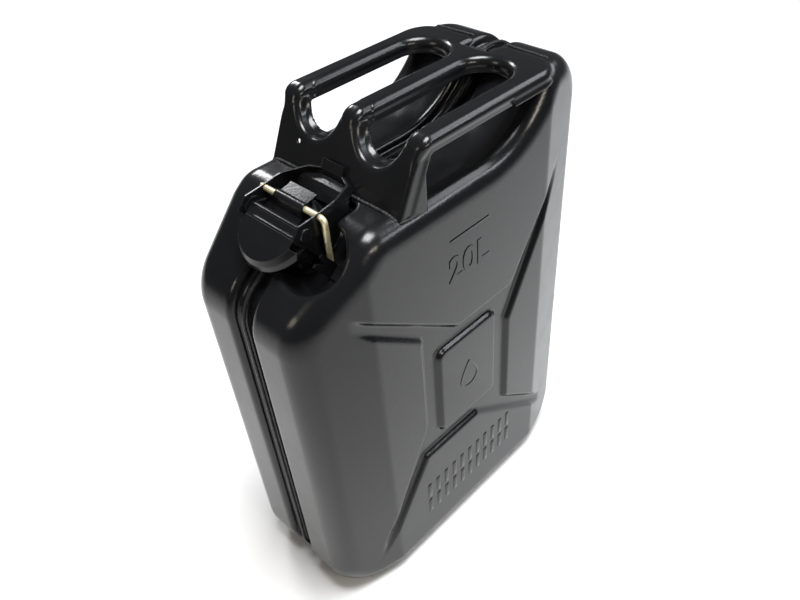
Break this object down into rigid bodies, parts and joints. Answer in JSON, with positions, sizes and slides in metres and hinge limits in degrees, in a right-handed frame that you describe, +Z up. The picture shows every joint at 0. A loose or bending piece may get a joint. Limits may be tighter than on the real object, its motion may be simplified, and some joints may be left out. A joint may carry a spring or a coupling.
{
  "type": "jerry can",
  "caption": "Pressed-steel fuel can with carrying handles, X pressing in the broad faces and a cam-lever lid on a sloping shoulder.",
  "frame": {"origin": "centre of the bounding box at the base plane the can stands on", "axes": "+X towards the rear, away from the spout; +Y towards the hidden broad face; +Z up"},
  "size_m": [0.345, 0.165, 0.47],
  "materials": {
    "can_paint": "satin",
    "fitting_paint": "satin",
    "weld": "rough",
    "rivet_steel": "satin",
    "pipe_steel": "satin",
    "gasket_rubber": "matt",
    "yellow_zinc": "satin"
  },
  "bodies": {
    "can": {"left_shell": "can_paint", "right_shell": "can_paint", "seam_weld": "weld", "handle_bracket": "can_paint", "handle_front_weld": "weld", "handle_rear_weld": "weld", "neck_tube": "fitting_paint", "neck_weld": "weld", "neck_saddle": "fitting_paint", "catch_lug": "fitting_paint", "left_rivet": "fitting_paint", "right_rivet": "fitting_paint", "breather_tube": "pipe_steel", "breather_clip": "pipe_steel"},
    "lever_body": {"lever": "fitting_paint"},
    "lid_body": {"lid_cover": "fitting_paint", "lid_plate": "fitting_paint", "lid_gasket": "gasket_rubber", "gasket_rivet": "rivet_steel", "hinge_strap": "fitting_paint"},
    "pin_body": {"retaining_pin": "yellow_zinc"}
  },
  "joints": [
    {"name": "lever_swing", "type": "hinge", "parent": "can", "child": "lever_body", "pos_m": [-0.11978, 0, 0.41434], "axis": [0, -1, 0], "range_deg": [0, 110]},
    {"name": "lid_tilt", "type": "hinge", "parent": "lever_body", "child": "lid_body", "pos_m": [-0.10474, 0, 0.42179], "axis": [0, -1, 0], "range_deg": [-88, 0]},
    {"name": "pin_turn", "type": "hinge", "parent": "lid_body", "child": "pin_body", "pos_m": [-0.10474, 0, 0.42179], "axis": [0, 1, 0], "range_deg": [0, 130]}
  ],
  "couplings": [
    {"joint": "lid_tilt", "follows": "lever_swing", "ratio": -0.8}
  ]
}
